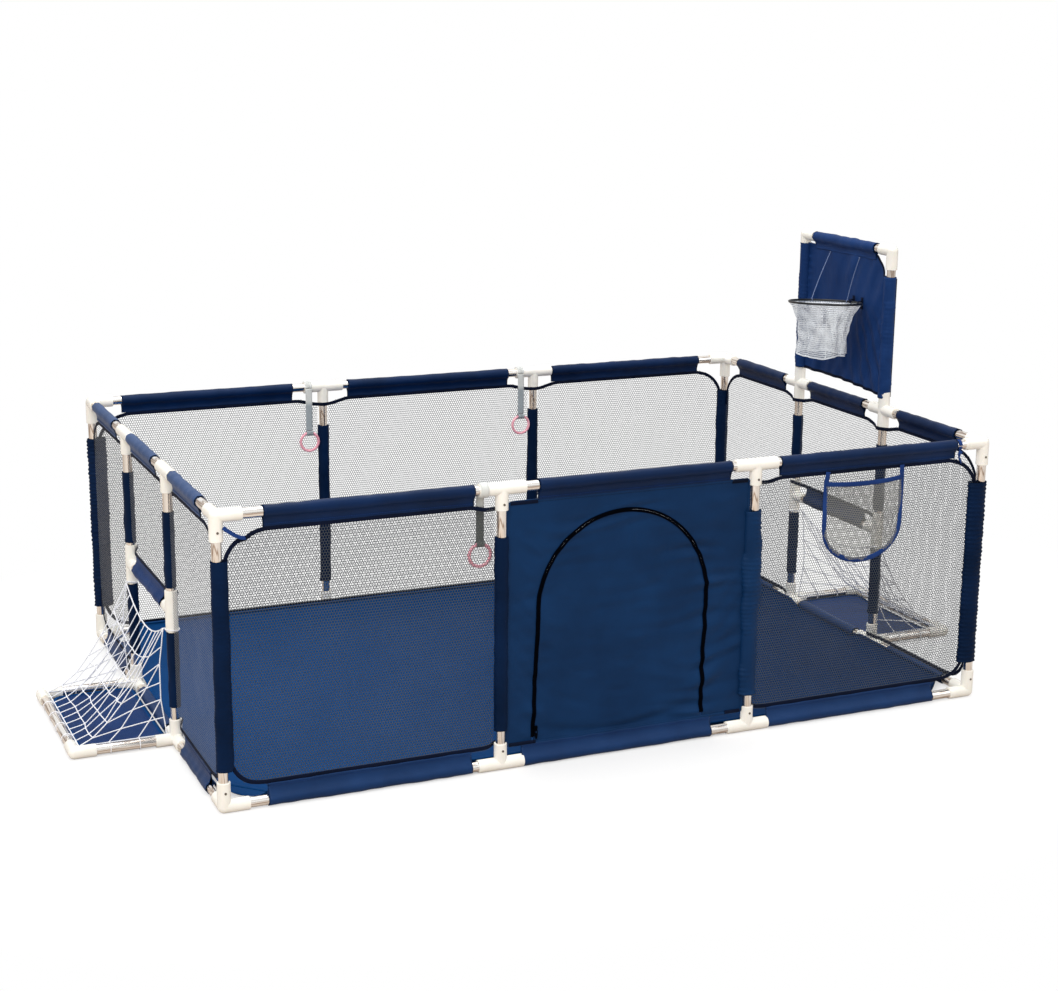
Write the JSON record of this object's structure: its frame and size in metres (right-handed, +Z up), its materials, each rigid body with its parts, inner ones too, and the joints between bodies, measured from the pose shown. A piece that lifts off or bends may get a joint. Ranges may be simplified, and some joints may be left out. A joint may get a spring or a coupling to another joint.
{
  "type": "travel play yard",
  "caption": "Rectangular push-fit tube play yard with netting walls, an arched zip door, a mat, a goal at each end and a small basketball hoop.",
  "frame": {"origin": "centre of the footprint on the floor, with the goal frames included", "axes": "+X along the long side towards the hoop, +Y from the door wall to the back wall, +Z up"},
  "size_m": [2.359, 1.2784, 1.0625],
  "materials": {
    "connector_plastic": "glossy moulded white",
    "chromed_tube": "bright chrome",
    "button_plastic": "matt dark",
    "wall_netting": "open hexagonal netting",
    "pocket_netting": "fine netting with a bound edge",
    "white_cord": "knotted white cord",
    "mat_cloth": "coated navy cloth",
    "navy_cloth": "woven navy polyester with a soft sheen",
    "grey_elastic": "ribbed grey elastic",
    "pink_plastic": "glossy pink",
    "black_wire": "black powder coat",
    "black_trim": "matt black"
  },
  "bodies": {
    "frame": {"bottom_rail_casings": "navy_cloth", "connector_buttons": "button_plastic", "corner_back_left_bottom": "connector_plastic", "corner_back_left_top": "connector_plastic", "corner_back_right_bottom": "connector_plastic", "corner_back_right_top": "connector_plastic", "corner_front_left_bottom": "connector_plastic", "corner_front_left_top": "connector_plastic", "corner_front_right_bottom": "connector_plastic", "corner_front_right_top": "connector_plastic", "crossbar_casings": "navy_cloth", "crossbar_connectors_left": "connector_plastic", "crossbar_connectors_right": "connector_plastic", "door_panel": "navy_cloth", "floor_mat": "mat_cloth", "goal_base_connectors_left": "connector_plastic", "goal_base_connectors_right": "connector_plastic", "goal_base_elbows_left": "connector_plastic", "goal_base_elbows_right": "connector_plastic", "goal_base_tubes_left": "chromed_tube", "goal_base_tubes_right": "chromed_tube", "goal_crossbars": "chromed_tube", "goal_floor_cloths": "mat_cloth", "goal_net_left": "white_cord", "goal_net_right": "white_cord", "goal_post_tops_left": "connector_plastic", "goal_post_tops_right": "connector_plastic", "goal_posts_left": "chromed_tube", "goal_posts_right": "chromed_tube", "hoop_board_cloth": "navy_cloth", "hoop_board_elbows": "connector_plastic", "hoop_board_tubes": "chromed_tube", "hoop_clips": "black_trim", "hoop_strings": "black_trim", "netting_back": "wall_netting", "netting_front": "wall_netting", "netting_left": "wall_netting", "netting_right": "wall_netting", "post_casings": "navy_cloth", "rails_back": "chromed_tube", "rails_front": "chromed_tube", "rails_left": "chromed_tube", "rails_right": "chromed_tube", "storage_pocket": "pocket_netting", "tees_back_bottom": "connector_plastic", "tees_back_top": "connector_plastic", "tees_front_bottom": "connector_plastic", "tees_front_top": "connector_plastic", "top_rail_casings": "navy_cloth", "upright_posts": "chromed_tube"},
    "door_flap": {"door_flap": "navy_cloth"},
    "zip_slider": {"zip_slider": "black_trim"},
    "hoop": {"hoop_ring": "black_wire", "hoop_net": "white_cord"},
    "strap_front": {"pull_strap_front": "grey_elastic"},
    "ring_front": {"pull_ring_front": "pink_plastic"},
    "strap_back_left": {"pull_strap_back_left": "grey_elastic"},
    "ring_back_left": {"pull_ring_back_left": "pink_plastic"},
    "strap_back_right": {"pull_strap_back_right": "grey_elastic"},
    "ring_back_right": {"pull_ring_back_right": "pink_plastic"}
  },
  "joints": [
    {"name": "door_fold", "type": "hinge", "parent": "frame", "child": "door_flap", "pos_m": [-0.016, -0.623, 0.058], "axis": [1, 0, 0], "range_deg": [0, 95]},
    {"name": "zip_slide", "type": "slide", "parent": "frame", "child": "zip_slider", "axis": [0, 0, 1], "range_m": [0, 0.27]},
    {"name": "hoop_tilt", "type": "hinge", "parent": "frame", "child": "hoop", "pos_m": [0.926, -0.065, 0.899], "axis": [0, 1, 0], "range_deg": [0, 80], "deforming": ["hoop_strings"]},
    {"name": "strap_swing_front", "type": "hinge", "parent": "frame", "child": "strap_front", "pos_m": [-0.35567, -0.623, 0.6385], "axis": [1, 0, 0], "range_deg": [0, 75]},
    {"name": "ring_swing_front", "type": "hinge", "parent": "strap_front", "child": "ring_front", "pos_m": [-0.35567, -0.60745, 0.516], "axis": [1, 0, 0], "range_deg": [-8, 80]},
    {"name": "strap_swing_back_left", "type": "hinge", "parent": "frame", "child": "strap_back_left", "pos_m": [-0.35567, 0.623, 0.6385], "axis": [-1, 0, 0], "range_deg": [0, 75]},
    {"name": "ring_swing_back_left", "type": "hinge", "parent": "strap_back_left", "child": "ring_back_left", "pos_m": [-0.35567, 0.60745, 0.516], "axis": [-1, 0, 0], "range_deg": [-8, 80]},
    {"name": "strap_swing_back_right", "type": "hinge", "parent": "frame", "child": "strap_back_right", "pos_m": [0.26767, 0.623, 0.6385], "axis": [-1, 0, 0], "range_deg": [0, 75]},
    {"name": "ring_swing_back_right", "type": "hinge", "parent": "strap_back_right", "child": "ring_back_right", "pos_m": [0.26767, 0.60745, 0.516], "axis": [-1, 0, 0], "range_deg": [-8, 80]}
  ]
}
